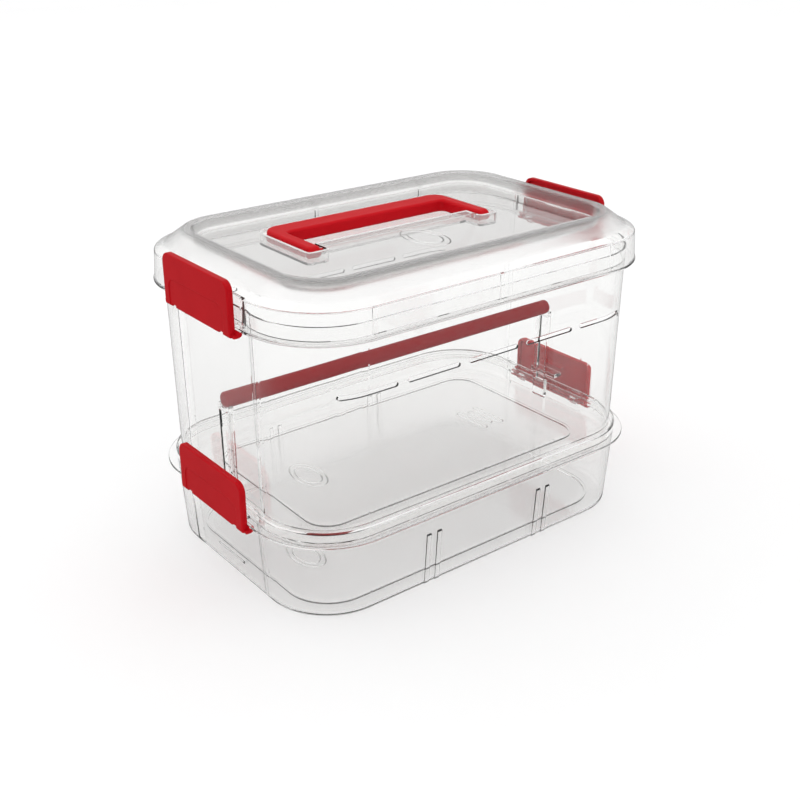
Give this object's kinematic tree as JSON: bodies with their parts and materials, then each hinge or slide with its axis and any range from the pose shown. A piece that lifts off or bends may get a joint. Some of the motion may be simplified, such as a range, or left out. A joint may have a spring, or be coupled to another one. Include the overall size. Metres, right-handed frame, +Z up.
{
  "type": "art supply box",
  "caption": "Clear two-tier carry box: shallow tray under a tall bin with a reel dowel and ribbon slots, domed lid with folding handle, snap clips on the ends.",
  "frame": {"origin": "on the ground under the middle of the tray", "axes": "+X along the box's length towards one clip end, +Y towards the long side that the handle folds to, +Z up"},
  "size_m": [0.3504, 0.2346, 0.2453],
  "materials": {
    "clear_plastic": "clear moulded polypropylene, glossy",
    "red_plastic": "solid red moulded polypropylene, satin gloss"
  },
  "bodies": {
    "tray": {"base_tray": "clear_plastic"},
    "bin": {"upper_bin": "clear_plastic"},
    "lid_body": {"lid": "clear_plastic"},
    "handle": {"carry_handle": "red_plastic"},
    "dowel": {"ribbon_dowel": "red_plastic"},
    "lower_clip_left": {"lower_clip_left": "red_plastic"},
    "lower_clip_right": {"lower_clip_right": "red_plastic"},
    "upper_clip_left": {"upper_clip_left": "red_plastic"},
    "upper_clip_right": {"upper_clip_right": "red_plastic"}
  },
  "joints": [
    {"name": "bin_lift", "type": "slide", "parent": "tray", "child": "bin", "axis": [0, 0, 1], "range_m": [0, 0.12]},
    {"name": "lid_lift", "type": "slide", "parent": "bin", "child": "lid_body", "axis": [0, 0, 1], "range_m": [0, 0.1]},
    {"name": "dowel_lift", "type": "slide", "parent": "bin", "child": "dowel", "axis": [0, 0, 1], "range_m": [0, 0.06]},
    {"name": "handle_fold", "type": "hinge", "parent": "lid_body", "child": "handle", "pos_m": [0, -0.001, 0.233], "axis": [1, 0, 0], "range_deg": [0, 90]},
    {"name": "lower_clip_left_hinge", "type": "hinge", "parent": "tray", "child": "lower_clip_left", "pos_m": [-0.1693, 0, 0.0596], "axis": [0, -1, 0], "range_deg": [0, 105]},
    {"name": "lower_clip_right_hinge", "type": "hinge", "parent": "tray", "child": "lower_clip_right", "pos_m": [0.1693, 0, 0.0596], "axis": [0, 1, 0], "range_deg": [0, 105]},
    {"name": "upper_clip_left_hinge", "type": "hinge", "parent": "bin", "child": "upper_clip_left", "pos_m": [-0.1693, 0, 0.2062], "axis": [0, -1, 0], "range_deg": [0, 105]},
    {"name": "upper_clip_right_hinge", "type": "hinge", "parent": "bin", "child": "upper_clip_right", "pos_m": [0.1693, 0, 0.2062], "axis": [0, 1, 0], "range_deg": [0, 105]}
  ]
}
